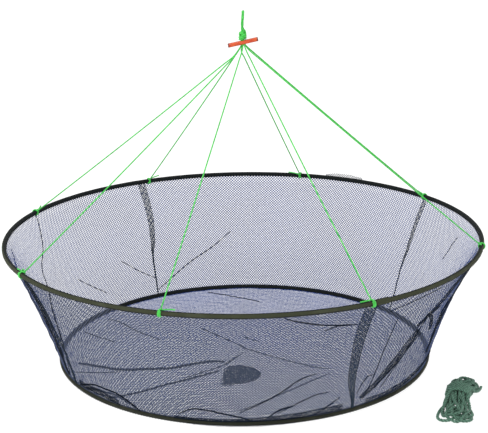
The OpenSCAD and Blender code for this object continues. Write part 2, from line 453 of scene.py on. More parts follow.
# Each sleeve's first colour is its tape where painted light falls on it; the rest of the tape is painted
# shade.
TAPE = {"top": sleeve_look("sleeve_tape_top", TOP, (0.055, 0.063, 0.033), (0.1, 0.11, 0.07)),
        "base": sleeve_look("sleeve_tape_base", BASE, (0.028, 0.032, 0.02), (0.07, 0.075, 0.05))}
PALE = netting_look("selvage", (0.1, 0.11, 0.14), (0.2, 0.21, 0.25))
THREAD = cord_look("sewing_thread", (0.004, 0.006, 0.005), (0.02, 0.024, 0.018), 2500)
STEEL = metal_look("spring_wire", (0.42, 0.43, 0.44), (0.66, 0.67, 0.68), 1500)
FERRULE = metal_look("crimp_ferrule", (0.52, 0.52, 0.53), (0.74, 0.74, 0.75), 600)


# ---- camera, light and floor ----


def make_camera():
    """The camera stands in front, a little above the basket, and looks down at it."""
    dip, roll = math.radians(16.4), math.radians(-0.77)
    back = np.array([0, -math.cos(dip), math.sin(dip)])
    right = np.array([1.0, 0, 0])
    above = np.cross(back, right)
    right, above = between(roll, right, above), between(roll, above, -right)
    data = bpy.data.cameras.new("camera")
    data.lens = 102.46
    data.sensor_width = 36
    camera = add_object("camera", data)
    spot = TOP.middle + [0.0023, -2.2509, 0.6926]
    camera.matrix_world = Matrix([*np.stack([right, above, back, spot], 1), (0, 0, 0, 1)])
    bpy.context.scene.camera = camera


def make_light():
    """An even white room and one large lamp, above and to the left."""
    world = bpy.data.worlds.new("room")
    world.use_nodes = True
    glow = world.node_tree.nodes["Background"].inputs
    glow["Color"].default_value = (1, 1, 1, 1)
    glow["Strength"].default_value = 0.8
    bpy.context.scene.world = world
    data = bpy.data.lights.new("softbox", "AREA")
    data.shape = "DISK"
    data.size = 1.6
    data.energy = 26
    lamp = add_object("softbox", data)
    lamp.location = (-1.1, -1.2, 1.6)
    lamp.rotation_euler = (Vector(TOP.middle) - lamp.location).to_track_quat("-Z", "Y").to_euler()
    bpy.context.scene.view_settings.view_transform = "Standard"


def make_floor():
    """A pale floor that glows a little, as a light table does, so that shadows stay faint."""
    look = Look("floor", Roughness=0.8)
    look.set("Base Color", (0.25, 0.25, 0.25, 1))
    look.set("Emission Color", (1, 1, 1, 1))
    look.set("Emission Strength", 0.9)
    floor = add_square("floor", 30, GROUND_Z - 0.0004)
    paint(floor, look.mat)


make_camera()
make_light()
make_floor()


# ---- cords ----


def strand_paths(path, offset, pitch, turn=0.0):
    """The lines of four cords that turn round a path together."""
    across, other = frames(path)
    for start in np.arange(4) / 4:
        yield path + offset * between(turn + 2 * np.pi * (start + run_of(path) / pitch), across, other)


def overhand(size, height, count=90):
    """The line of an overhand knot, drawn tight round its own axis, which is Z."""
    t = np.linspace(0.35, 2 * np.pi - 0.35, count) + np.pi
    x = np.sin(t) + 1.6 * np.sin(2 * t)
    y = np.cos(t) - 1.6 * np.cos(2 * t)
    z = -np.sin(3 * t) * 0.8 + np.linspace(-1.2, 1.2, count)
    return np.stack([x * size / 2.6, y * size / 2.6, z * height / 4], 1)


SPLAY = BAR_MIDDLE + SPLAY_AT * BAR_AXIS  # where the cords part
BAR_BACK = np.array([0.0, 1.0, 0.0])
BAR_SIDE = np.cross(BAR_AXIS, BAR_BACK)


def bundle_spot(angle, along):
    """A point of the bundle through the bar, at an angle round it and a distance along it."""
    return BAR_MIDDLE + along * BAR_AXIS + BUNDLE_R * between(math.radians(angle), -BAR_SIDE, BAR_BACK)


# Where the first cords leave the others, from the point where all meet: the three on the left part last.
LEAVES = [(-0.0155, -0.0012, -0.0175), (-0.016, 0.0014, -0.0168), (-0.0148, 0.0024, -0.0176),
          (-0.0042, 0.001, -0.0085), (0.0048, 0.0006, -0.0015)]


def shorten(obj, joint, anchor, depth):
    """Gives a piece its own copy of its mesh. It reads how far a joint slides up, but does not squash the
    piece towards the anchor.
    """
    travel = next(j for j in frame["joints"] if j["name"] == joint)["range_m"][1]
    tuple(anchor)
    1 - travel / depth
    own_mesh(obj)


def make_bridle():
    """Eight cords from the bundle in the bar down to the hitches on the top hoop."""
    sag = 0.0015
    for i, angle in enumerate(KNOT_ANGLES):
        end = TOP.point(angle)
        end = end - unit(end - SPLAY) * (TOP.sleeve_r + 0.0014)
        leave = SPLAY + (LEAVES[i] if i < len(LEAVES) else 0.022 * (end - SPLAY))
        hang = [leave + (end - leave) * t - UP * sag * 4 * t * (1 - t) for t in np.linspace(0, 1, 22)]
        path = smooth_line([bundle_spot(angle, 0.001), bundle_spot(angle, -0.0025), *hang], 0.0012)
        form = Pieces()
        form.cord(path, groove=0.75)
        cord = form.mesh(f"bridle_line_{i + 1}")
        place(cord, GREEN, "rigging", "bridle_cord", f"bridle_cord_{i + 1}")
        float(run_of(path)[-1])
        shorten(cord, "bridle_fold", SPLAY, SPLAY[2] - TOP.middle[2])


def make_crown():
    """The bundle in the bar, the stopper knot above it and the hanging loop of four strands."""
    bundle = Pieces()
    start, length, twist = -0.004, 0.01, 60
    for angle in range(0, 360, 45):
        spots = [bundle_spot(angle + twist * t, start + length * t) for t in np.linspace(0, 1, 12)]
        bundle.cord(smooth_line(spots, CORD_STEP))
    place(bundle.mesh("bar_strands"), GREEN, "rigging", "bridle_cord", "cord_bundle")

    knot = Pieces()
    low, high = (np.array(c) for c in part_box("stopper_knot"))
    middle = (low + high) / 2
    size = (high - low) / 2
    route = overhand(size[0] - 0.0026, 2 * size[2] - 0.0045, 140)
    route[:, :2] *= 1 - 0.16 * np.clip(route[:, 2:] / size[2], -1, 1)  # narrower towards its top
    swing = np.linspace(0, 4 * np.pi, 130)
    height = np.linspace(-0.0076, -0.002, 130) + 0.0014 * np.cos(swing)
    girdle = 0.0043 * level_way(swing) + UP * height[:, None]
    core = UP * np.linspace(-size[2], size[2], 14)[:, None]
    lines = [(route, 0.0015, 0.05, 0, 1.06), (girdle, 0.0015, 0.05, 0, 1), (core, 0.0016, 0.03, 0.6, 1.1)]
    for line, offset, pitch, turn, thick in lines:
        for strand in strand_paths(middle + line, offset, pitch, turn):
            knot.cord(resample(strand, CORD_STEP), CORD_R * thick)
    place(knot.mesh("crown_knot"), GREEN, "rigging", "bridle_cord", "stopper_knot")

    loop = Pieces()
    other = [(x, -y, z) for x, y, z in reversed(LOOP_SIDE)]
    for strand in strand_paths(smooth_line([*LOOP_SIDE, LOOP_TOP, *other], 0.0008), 0.00126, 0.045):
        loop.cord(strand)
    place(loop.mesh("crown_loop"), GREEN, "rigging", "bridle_cord", "hanging_loop")


def make_hitches():
    """Turns of cord round the hoop, a small knot where each bridle cord comes in, and its tail."""
    for i, angle in enumerate(KNOT_ANGLES):
        form = Pieces()
        at = TOP.point(angle)
        out, way = TOP.ways(at)
        way = way * TAIL_SIDES[i]
        towards = unit(SPLAY - at)
        ring = TOP.sleeve_r * 1.04 + CORD_R
        turn = np.linspace(0.15, 2.75, 90) * 2 * np.pi + math.atan2(towards[2], towards @ out)
        step = np.linspace(-0.0022, 0.0022, 90)[:, None]
        form.cord(resample(at + step * way + ring * between(turn, out, UP), 0.0007))

        knot_at = at + towards * (TOP.sleeve_r + 0.0019)
        turned = np.stack([way, unit(np.cross(towards, way)), towards])
        form.cord(resample(knot_at + overhand(0.0019, 0.0042, 60) @ turned, CORD_STEP))

        length = 0.016 + 0.002 * ((i * 5) % 4)
        lean = 0.9 if i % 2 else 0.4  # how far over the top of the hoop the tail lies
        spots = [knot_at]
        for share in np.linspace(0, 1, 7)[1:]:
            tilt = math.pi / 2 + lean * (1 - share)
            rise = ring + 0.0002 + 0.0016 * share * (i % 3)
            hug = at + rise * between(tilt, out, UP)
            along = length * share
            spots.append(hug + way * (0.001 + along) - out * along**2 / (2 * TOP.radius))
        tail = smooth_line(spots, CORD_STEP)
        share = run_of(tail) / run_of(tail)[-1]
        form.cord(tail, CORD_R * (1 + 0.25 * np.clip((share - 0.93) / 0.07, 0, 1)))  # frayed at its end
        if i == 0:  # the first hitch also keeps a small open bow of cord
            swing = np.linspace(-0.2, 1.15, 24)[:, None] * np.pi
            bow = knot_at + 0.0035 * (way * (1 - np.cos(swing)) + UP * np.sin(swing) * 1.15)
            form.cord(resample(bow, CORD_STEP))
        place(form.mesh(f"tied_hitch_{i + 1}"), GREEN, "top_hoop", "bridle_cord", f"hoop_hitch_{i + 1}")


make_bridle()
make_crown()
make_hitches()


# ---- hoops ----


def hoop_line(hoop, start, span, spacing):
    """Points along a hoop's wire, over part of its turn, in degrees."""
    steps = max(3, round(math.radians(span) * hoop.radius / spacing))
    return hoop.point(np.linspace(start, start + span, steps + 1))


def make_sleeve(side, hoop, lap_angle):
    """The woven sleeve round a hoop's wire, its lapped end, and the stitches that hold the netting to it."""
    body = side + "_hoop"
    sleeve = Pieces()
    path = hoop_line(hoop, 0, 360, 0.002)[:-1]
    count, sides = len(path), 20
    turn = np.arange(count) / count * 2 * np.pi
    waves = [(7, 0.4), (23, 0.3), (61, 0.3), (140, 0.25)]  # round the hoop, and how strong
    wave = sum(np.sin(turn * k + rng.uniform(0, 6)) * strength for k, strength in waves)
    angle = np.arange(sides) / sides * 2 * np.pi
    out, _ = hoop.ways(path)
    hem = np.exp(-(((angle[None] - 4.55 + 0.1 * wave[:, None]) / 0.35) ** 2))  # the sewn edge, below
    size = hoop.sleeve_r * (1.03 + 0.03 * wave[:, None] + 0.12 * hem)
    verts = path[:, None] + size[..., None] * between(angle, out[:, None], UP)
    quads, spots = grid_faces(count, sides, joined=(True, True))
    sleeve.add(verts, quads, spots * [2 * np.pi * hoop.radius / count, 1 / sides])
    place(sleeve.mesh(side + "_sleeve_tape"), TAPE[side], body, "sleeve_tape", body + "_sleeve")

    lap = Pieces()
    span = math.degrees(0.0236 / hoop.radius)
    path = hoop_line(hoop, lap_angle - span / 2, span, 0.0006)
    along = np.linspace(-1, 1, len(path))
    thick = hoop.sleeve_r * 1.03 + 0.0011 * np.clip((1 - np.abs(along)) / 0.12, 0, 1) ** 0.5
    thick = thick + 0.00012 * np.sin(along * 31)
    lap.tube(path, thick, sides=28)
    place(lap.mesh(side + "_sleeve_lap"), TAPE[side], body, "sleeve_tape", side + "_sleeve_overlap")

    stitches = Pieces()
    gap = 0.0052
    for turn in np.arange(0, 360, math.degrees(gap / hoop.radius)):
        at = hoop.point(turn)
        out, way = hoop.ways(at)
        sweep = np.radians(np.linspace(200, 325, 8) + rng.uniform(-6, 6))
        rise = hoop.sleeve_r * 1.09 + 0.0003
        spots = at + rise * between(sweep, out, UP) + np.linspace(-0.0013, 0.0013, 8)[:, None] * way
        stitches.tube(spots, 0.0003, sides=5)
    place(stitches.mesh(side + "_hem_stitches"), THREAD, body, "sleeve_tape")


make_sleeve("top", TOP, 300.4)
make_sleeve("base", BASE, 355)
for hoop_name in ("top_hoop", "base_hoop"):
    paint(frame["nodes"][hoop_name + "_wire"], STEEL)
    paint(frame["nodes"][hoop_name + "_ferrule"], FERRULE)
bar = frame["nodes"]["toggle_bar"]
paint(bar, bar_look())
rounding = bar.modifiers.new("rounding", "BEVEL")
rounding.width = 0.0005
rounding.segments = 3
rounding.limit_method = "ANGLE"
rounding.angle_limit = math.radians(40)


# ---- netting ----

PITCH = 0.0035  # between neighbouring yarns
YARN_W = 0.0012
YARN_T = 0.0003
FLOOR_YARN_W = 0.0013
FLOOR_YARN_T = 0.00045
BAND_YARN_W = 0.0009  # in seams, gathers and folds

EDGE = 0.003  # from the wire's middle to the netting's edge
SLANT = unit(BASE.point(0) - TOP.point(0))
WALL_TOP = TOP.point(0) + EDGE * SLANT
WALL_BASE = BASE.point(0) - EDGE * SLANT
WALL_LENGTH = float(np.linalg.norm(WALL_BASE - WALL_TOP))
MID_R = (TOP.radius + BASE.radius) / 2
ROUND = 2 * np.pi * MID_R
WALL_STEPS = (288, 18)  # round and down
FLOOR_R = BASE.radius - EDGE
FLOOR_STEPS = 84
FLOOR_SIDE = 2 * (FLOOR_R + 0.012)
WALL_GRAVITY = 0.04  # a share of the real one, as the base hoop's weight keeps the wall taut
SETTLE_STEPS = 36


def cone(u, v):
    """A point of the taut wall and its outward direction, u metres round and v metres down."""
    down = (v / WALL_LENGTH)[..., None]
    flat = WALL_TOP * (1 - down) + WALL_BASE * down - TOP.middle * [1, 0, 0]
    out = level_way(u / MID_R)
    return out * flat[..., :1] + UP * flat[..., 2:] + TOP.middle * [1, 0, 0], out * -SLANT[2] + UP * SLANT[0]


DRAPE = {"quality": 7, "mass": 0.05, "tension_stiffness": 10, "compression_stiffness": 4,
         "shear_stiffness": 1, "bending_stiffness": 0.01, "air_damping": 3, "vertex_group_mass": "sewn"}


def settle(cloths, steps):
    """Lets loose netting hang and drop from where it is sewn. Returns each cloth's settled points."""
    scene = bpy.context.scene
    objects = []
    for points, quads, sewn, gravity in cloths:
        form = Pieces()
        form.add(points, quads, np.zeros((len(quads), 8)))
        obj = form.mesh("settling")
        obj.vertex_groups.new(name="sewn").add(np.flatnonzero(sewn).tolist(), 1, "REPLACE")
        cloth = obj.modifiers.new("drop", "CLOTH")
        for key, value in DRAPE.items():
            setattr(cloth.settings, key, value)
        cloth.settings.effector_weights.gravity = gravity
        cloth.collision_settings.use_collision = True
        cloth.collision_settings.distance_min = 0.0008
        cloth.point_cache.frame_start = 1
        cloth.point_cache.frame_end = steps
        objects.append(obj)
    ground = add_square("slab", 1, GROUND_Z - 0.0002)
    ground.modifiers.new("ground", "COLLISION")
    ground.collision.thickness_outer = 0.001
    for step in range(1, steps + 1):
        scene.frame_set(step)
    graph = bpy.context.evaluated_depsgraph_get()
    settled = []
    for obj in objects:
        mesh = obj.evaluated_get(graph).to_mesh()
        points = np.empty(len(mesh.vertices) * 3, np.float32)
        mesh.vertices.foreach_get("co", points)
        settled.append(points.reshape(-1, 3).astype(float))
    for obj in [*objects, ground]:
        bpy.data.objects.remove(obj)
    scene.frame_set(1)
    return settled


def ripples(u, v, count, longest, shortest, seed):
    """Smooth random waves over a surface, about -1 to 1."""
    draw = np.random.default_rng(seed)
    total = 0
    for _ in range(count):
        length = longest * (shortest / longest) ** draw.uniform()
        way = draw.uniform(0, np.pi)
        across = u * np.cos(way) + v * np.sin(way)
        total = total + np.sin(across * 2 * np.pi / length + draw.uniform(0, 6.3))
    return total / count**0.5


def bump(turn, middle, width):
    """A smooth hump round the basket, from 0 to 1, with its middle and width in degrees."""
    off = (np.degrees(turn) - middle + 180) % 360 - 180
    return np.exp(-((off / width) ** 2))


def loose_wall():
    """The wall, drawn in between its hoops where the netting is pulled tight, before it hangs."""
    columns, rows = WALL_STEPS
    i, k = np.meshgrid(np.arange(columns), np.arange(rows), indexing="ij")
    u, v = i / columns * ROUND, k / (rows - 1) * WALL_LENGTH
    spot, out = cone(u, v)
    share = np.sin(np.pi * (v / WALL_LENGTH) ** 0.75)
    turn = u / MID_R
    pull = 0.0045 + 0.002 * bump(turn, 200, 50) + 0.003 * bump(turn, 338, 45)
    pleats = 0.0004 * np.sin(38 * turn + 2 * np.sin(3 * turn))
    pleats = pleats + 0.0003 * np.sin(67 * turn + 3 * np.sin(4 * turn))
    offset = (pleats - pull) * share
    points = (spot + out * offset[..., None]).reshape(-1, 3)
    sewn = ((k == 0) | (k == rows - 1)).ravel()
    return points, grid_faces(columns, rows, (True, False))[0], sewn, WALL_GRAVITY


def loose_floor():
    """The floor netting as it is sewn, rumpled over the ground, before it drops."""
    n = FLOOR_STEPS
    i, k = np.meshgrid(np.arange(n + 1), np.arange(n + 1), indexing="ij")
    x, y = (g / n * FLOOR_SIDE - FLOOR_SIDE / 2 for g in (i, k))
    reach = np.hypot(x, y)
    inside = np.clip((FLOOR_R - reach) / 0.05, 0, 1)
    rumple = 0.003 + 0.0016 * ripples(x, y, 14, 0.25, 0.09, 5) + 0.0003 * ripples(x, y, 10, 0.06, 0.03, 6)
    rim = BASE.middle[2] - BASE.sleeve_r * 0.7 - GROUND_Z
    height = rim + inside * (np.maximum(rumple, 0.001) - rim)
    points = np.stack([x, y, GROUND_Z + height], -1) + BASE.middle * [1, 1, 0]
    return points.reshape(-1, 3), grid_faces(n + 1, n + 1)[0], (reach > FLOOR_R - 0.002).ravel(), 1


def cubic(grid, u, v, wrap):
    """Smooth values between a grid's points, with u and v in steps of the grid."""
    columns, rows = grid.shape[:2]
    base_u, base_v = np.floor(u).astype(int), np.floor(v).astype(int)

    def weights(f):
        return (-0.5 * f + f**2 - 0.5 * f**3, 1 - 2.5 * f**2 + 1.5 * f**3,
                0.5 * f + 2 * f**2 - 1.5 * f**3, -0.5 * f**2 + 0.5 * f**3)

    total = 0
    for a, wu in enumerate(weights(u - base_u)):
        column = base_u + a - 1
        column = column % columns if wrap else np.clip(column, 0, columns - 1)
        for b, wv in enumerate(weights(v - base_v)):
            total = total + (wu * wv)[..., None] * grid[column, np.clip(base_v + b - 1, 0, rows - 1)]
    return total


wall_cloth, floor_cloth = loose_wall(), loose_floor()
wall_points, floor_points = settle([wall_cloth, floor_cloth], SETTLE_STEPS)
WALL_GRID = wall_points.reshape(*WALL_STEPS, 3)
FLOOR_GRID = floor_points.reshape(FLOOR_STEPS + 1, FLOOR_STEPS + 1, 3)


def wall_at(u, v):
    """The hanging wall, u metres round from +X and v metres down."""
    return cubic(WALL_GRID, u / ROUND * WALL_STEPS[0], v / WALL_LENGTH * (WALL_STEPS[1] - 1), True)


def floor_at(x, y):
    """The floor netting, from the base hoop's middle."""
    scale = FLOOR_STEPS / FLOOR_SIDE
    return cubic(FLOOR_GRID, (x + FLOOR_SIDE / 2) * scale, (y + FLOOR_SIDE / 2) * scale, False)


def oblong(left, right, low, high):
    return [(left, low), (right, low), (right, high), (left, high)]


def lattice(outline, pitch, turn=math.pi / 4):
    """The yarns both ways in a convex, counter-clockwise outline: points at each crossing and both ends."""
    outline = np.asarray(outline, float)
    edges = np.roll(outline, -1, 0) - outline
    inward = np.stack([-edges[:, 1], edges[:, 0]], 1)
    yarns = []
    for a in (turn, turn - math.pi / 2):
        along = np.array([math.cos(a), math.sin(a)])
        across = np.array([-along[1], along[0]])
        reach = outline @ across
        family = []
        for k in range(math.ceil(reach.min() / pitch), math.floor(reach.max() / pitch) + 1):
            start = across * k * pitch
            depth = ((start - outline) * inward).sum(1)
            lean = inward @ along
            enter = np.max(-depth[lean > 0] / lean[lean > 0])
            leave = np.min(-depth[lean < 0] / lean[lean < 0])
            if leave - enter < pitch * 0.4:
                continue
            knots = np.arange(math.ceil(enter / pitch + 0.15), math.floor(leave / pitch - 0.15) + 1) * pitch
            family.append(start + np.concatenate([[enter], knots, [leave]])[:, None] * along)
        yarns.append(family)
    return yarns


def faced(surface, u, v, nudge=0.0006):
    """A surface's points and the directions they face."""
    spot = surface(u, v)
    return spot, unit(np.cross(surface(u + nudge, v) - spot, surface(u, v + nudge) - spot))


def netting(yarns, surface, width=YARN_W, thickness=YARN_T, form=None):
    """Flat, three-sided yarns over a surface, from their points in the cut cloth."""
    form = form or Pieces()
    everything = np.vstack([y for family in yarns for y in family])
    corner = everything.min(0)
    scale = (everything.max(0) - corner).max() * 1.02
    for side, family in enumerate(yarns):
        lengths = np.array([len(y) for y in family])
        flat = np.vstack(family)
        spot, face = faced(surface, flat[:, 0], flat[:, 1])
        spot = spot + face * side * 0.00003
        index = np.arange(len(flat))
        last = np.isin(index, np.cumsum(lengths) - 1)
        first = np.roll(last, 1)
        along = unit(spot[index + ~last] - spot[index - ~first])
        across = unit(np.cross(along, face)) * width / 2
        rise = face * thickness / 2
        verts = np.stack([spot + across - rise, spot + rise, spot - across - rise], 1)
        a = index[~last]
        sides = [[k, 3 + k, 3 + (k + 1) % 3, (k + 1) % 3] for k in range(3)]
        quads = (a[:, None, None] * 3 + np.array(sides)).reshape(-1, 4)
        begin, end = index[first] * 3, index[last] * 3
        tris = np.vstack([np.stack([begin + 2, begin + 1, begin], 1), np.stack([end, end + 1, end + 2], 1)])
        step = np.where(last, -1, 1)
        run = unit(flat[index + step] - flat) * step[:, None]
        beside = np.stack([-run[:, 1], run[:, 0]], 1) * width / 2
        spread = np.stack([flat + beside, flat, flat - beside], 1).reshape(-1, 2)
        uv = np.clip((spread - corner) / scale, 0, 1)
        form.add(verts, quads, uv[quads.ravel()], tris, uv[tris.ravel()])
    return form


def fold_wall(obj):
    """Gives a piece of the wall its own mesh, by way of shorten; the wall is not crumpled towards the top
    hoop.
    """
    shorten(obj, "basket_fold", TOP.middle, TOP.middle[2] - BASE.middle[2])


def band(surface, spots, arch=0.0008, pleats=0):
    """The surface of gathered netting along a line in the cut cloth, its length and its half width."""
    spots, widths = np.split(np.asarray(spots, float), [2], axis=1)
    widths = widths[:, 0] / 1000
    line = smooth_line(spots, 0.002)
    run = run_of(line)
    way = unit(np.gradient(line, axis=0))
    full = widths.max() / 2
    shares = np.interp(run / run[-1], run_of(spots) / run_of(spots)[-1], widths) / (2 * full)

    def gathered(s, w):
        at, along = (np.stack([np.interp(s, run, c[:, j]) for j in (0, 1)], -1) for c in (line, way))
        size = np.interp(s, run, shares)
        reach = w * size
        if pleats:
            turn = w / full * np.pi * pleats
            reach = reach + full * size * 0.42 / pleats * np.sin(turn + 3 * np.sin(s * 31))
        flat = at + np.stack([-along[..., 1], along[..., 0]], -1) * reach[..., None]
        spot, face = faced(surface, flat[..., 0], flat[..., 1])
        return spot + face * (arch * (1.2 - (w / full) ** 2))[..., None]

    return gathered, run[-1], full


def add_band(form, surface, spots, pitch=0.0022, **options):
    """Gathered netting along a line, from points with a width in millimetres. Returns its two edges."""
    gathered, length, half = band(surface, spots, **options)
    netting(lattice(oblong(0, length, -half, half), pitch), gathered, BAND_YARN_W, form=form)
    s = np.linspace(0, length, max(6, round(length / 0.003)))
    return [gathered(s, np.full(len(s), w * 0.98)) for w in (-half, half)]


def add_creases(form, surface, creases, height):
    """Narrow folds, from a width in millimetres and points in the cut cloth. Wider ones stand higher."""
    for thick, spots in creases:
        widths = thick * np.interp(np.linspace(0, 1, len(spots)), [0, 0.15, 0.85, 1], [0.4, 1, 1, 0.4])
        add_band(form, surface, np.column_stack([spots, widths]), 0.0012, arch=height * thick / 2)
        route = smooth_line(spots, 0.002)
        yield surface(route[:, 0], route[:, 1])


def on_wall(spots):
    """Points of the cut wall, from degrees round and percents of the way down. A width may follow."""
    return [(math.radians(angle) * MID_R, down / 100 * WALL_LENGTH, *width) for angle, down, *width in spots]


# Each seam's band: degrees round, percent of the way down, and width in millimetres.
SEAMS = [
    [(32, 0, 9), (32, 13, 8.5), (31.9, 32, 8), (31.7, 46, 6), (32, 63, 2.5), (31.5, 83, 2), (31.5, 100, 3)],
    [(119.4, 0, 13), (119, 30, 12), (119.8, 54, 9), (120.7, 66, 2.5), (121.4, 100, 2)],
    [(210, 0, 18), (210.5, 12, 14), (211, 24, 13), (211.5, 34, 11), (210.5, 48, 12), (211.5, 60, 9),
     (211, 80, 7), (210, 100, 5)],
    [(298, 0, 19), (298, 30, 20), (298.4, 50, 17), (299.2, 73, 14), (301.2, 93, 6), (301.6, 100, 5)],
]

# Gathered netting away from the seams: pleats, then points as above.
GATHERS = [
    (2, [(334, 1, 24), (332.5, 10, 20), (329.5, 18, 16), (325.5, 27, 12), (321, 34, 9), (318, 40, 7)]),
    (1, [(322.4, 33, 6), (325.4, 43, 10), (327.6, 52, 8)]),
    (1, [(334, 30, 5), (332, 46, 7), (334.5, 69, 5)]),
    (2, [(320, 46, 18), (315.5, 60, 15), (311.5, 74, 14), (307, 85, 12), (303.5, 92, 8)]),
    (3, [(210.5, 2, 9), (209.5, 10, 14), (209, 25, 19), (208, 40, 21), (207.5, 55, 19), (206, 75, 14),
         (205.5, 96, 8)]),
    (2, [(340, 2, 8), (338.5, 20, 13), (336, 40, 15), (334, 60, 12), (334, 80, 8)]),
    (2, [(342, 88, 7), (332, 93, 8), (318, 96, 8), (306, 97, 7)]),
    (3, [(232, 97, 7), (225, 94, 12), (214, 95, 9)]),
    (3, [(298, 96, 10), (290, 96, 10), (282, 97, 9), (266, 98.5, 6), (250, 98.5, 5)]),
]

# Folds in the wall: width in millimetres, then degrees round and percents of the way down.
WALL_CREASES = [
    (2.2, [(159.1, 1), (159.9, 9), (163.5, 27), (169.6, 41), (171.2, 55), (174.3, 70), (177.7, 96)]),
    (1.8, [(121, 96), (116, 89), (108, 76), (100, 64), (94, 51)]),
    (1.5, [(132.5, 64), (127, 76), (121, 86)]),
    (1.5, [(153, 65), (147, 77), (142, 86)]),
    (1.6, [(182.5, 7.5), (186, 13), (189.3, 19)]),
    (1.5, [(10.3, 16), (11.5, 27), (12.6, 38)]),
    (1.5, [(349.5, 5.5), (352, 17), (354.7, 29)]),
    (2.6, [(278.4, 2.4), (282, 7.2), (288.8, 13.8), (294, 16.2)]),
    (2, [(296, 17.5), (291, 16), (288, 19)]),
    (2.2, [(268.6, 91), (277, 78), (284, 63), (288, 59)]),
    (2, [(279, 93), (287.5, 81), (292.6, 79)]),
    (2.6, [(289.7, 98), (293.6, 91.7), (296.5, 86)]),
    (3, [(276.5, 95.7), (279.3, 90.3), (283, 87)]),
    (2.6, [(251.4, 95), (257.3, 89), (268.2, 95), (271.6, 98)]),
    (3, [(213, 98), (222.4, 89), (229, 88), (233.6, 90), (239.3, 99)]),
    (2, [(301.9, 87), (303, 79), (304.3, 73), (306.7, 73.6)]),
    (1.6, [(322, 50), (317.1, 63), (313, 75), (308.3, 87)]),
    (1.8, [(222.6, 1), (217.9, 23), (215.4, 41), (213.1, 58)]),
    (1.5, [(304, 12), (312, 8), (320, 5)]),
    (1.4, [(199, 28), (198, 44), (197.5, 64), (198, 84)]),
    (1.6, [(206.7, 10), (203.4, 30), (204.6, 45), (205.6, 64), (206.4, 80)]),
    (2, [(211.7, 9), (211.3, 33), (210.5, 54), (206.5, 84), (205, 97)]),
    (1.6, [(215.5, 45), (212, 67), (207, 95)]),
    (1.8, [(327.5, 31), (321.5, 37), (318.5, 56), (315, 72), (310.9, 88)]),
    (1.6, [(308.1, 22), (307.4, 50), (306.4, 77), (304.7, 94)]),
]

# Folds in the floor netting: width, then points from the base hoop's middle, in millimetres.
FLOOR_CREASES = [
    (2, [(-249, 146), (-224, 126), (-189, 79), (-150, 40)]),
    (1.8, [(-287, 83), (-260, 58), (-228, 31)]),
    (4.2, [(-280, -67), (-246, -81), (-207, -97), (-159, -96), (-125, -94), (-96, -81), (-58, -66),
           (-34, -69)]),
    (2, [(-289, -102), (-250, -106), (-206, -105)]),
    (3, [(-217, -211), (-198, -205), (-166, -188), (-128, -161), (-94, -141), (-42, -106)]),
    (3, [(-267, -164), (-219, -191), (-197, -212), (-160, -268)]),
    (2, [(-79, 94), (-35, 42), (3, -7), (45, -44), (85, -74), (112, -92), (141, -103)]),
    (1.5, [(-6, 54), (10, 37), (27, 23)]),
    (1.6, [(-69, 286), (-10, 255), (30, 228)]),
    (1.8, [(-8, -267), (40, -222), (89, -173), (141, -121)]),
    (1.6, [(-100, -135), (-40, -85), (-20, -56), (-2, -27)]),
]


def make_wall():
    """Four panels of netting round the basket, the seams between them, and their folds and gathers, which
    are coloured near black as painted shade.
    """
    lines = Pieces()
    edges_at = [math.radians(a) * MID_R for a in [*SEAM_ANGLES, SEAM_ANGLES[0] + 360]]
    for i, start in enumerate(SEAM_ANGLES):
        seam = Pieces()
        arch = 0.0008 if start < 180 else -0.001  # it stands in at the back and out at the front
        for edge in add_band(seam, wall_at, on_wall(SEAMS[i]), 0.0025, arch=arch, pleats=2 if i == 2 else 0):
            lines.tube(edge, 0.00045)
        seam = seam.mesh(f"wall_seam_net_{i + 1}", "OFBake")
        fold_wall(place(seam, SEAM, "top_hoop", "seam_thread", f"wall_seam_{i + 1}"))

        near, far = edges_at[i : i + 2]
        panel = netting(lattice(oblong(near, far, 0, WALL_LENGTH), PITCH), wall_at)
        panel = panel.mesh(f"wall_net_{i + 1}", "OFBake")
        place(panel, NET, "top_hoop", "netting", f"wall_panel_{i + 1}")
        far - near
        fold_wall(panel)

    # The gathers are coloured near black, with a dark line along each edge: painted shade.
    tucks = Pieces()
    for pleats, spots in GATHERS:
        arch = 0.0012 if spots[0][0] < 180 else -0.0014
        for edge in add_band(tucks, wall_at, on_wall(spots), arch=arch, pleats=pleats):
            lines.tube(edge, 0.0004)
    fold_wall(place(tucks.mesh("wall_tucks", "OFBake"), THREAD_AND_FOLD_SHADE, "top_hoop", "netting"))
    # The folds are coloured near black: painted shade in the creases.
    creases = Pieces()
    for side in (1, -1):  # behind, a fold stands in from the netting, and in front it stands out
        folds = [(w, on_wall(spots)) for w, spots in WALL_CREASES if (spots[0][0] < 180) == (side == 1)]
        for fold in add_creases(creases, wall_at, folds, 0.0007 * side):
            out, _ = TOP.ways(fold)
            # A dark line along each fold: painted shade in the crease.
            lines.tube(fold - out * 0.0004 * side, 0.0006)
    fold_wall(place(creases.mesh("wall_creases", "OFBake"), THREAD_AND_FOLD_SHADE, "top_hoop", "netting"))
    fold_wall(place(lines.mesh("wall_seam_and_fold_shade_lines"), THREAD_AND_FOLD_SHADE, "top_hoop", "seam_thread"))


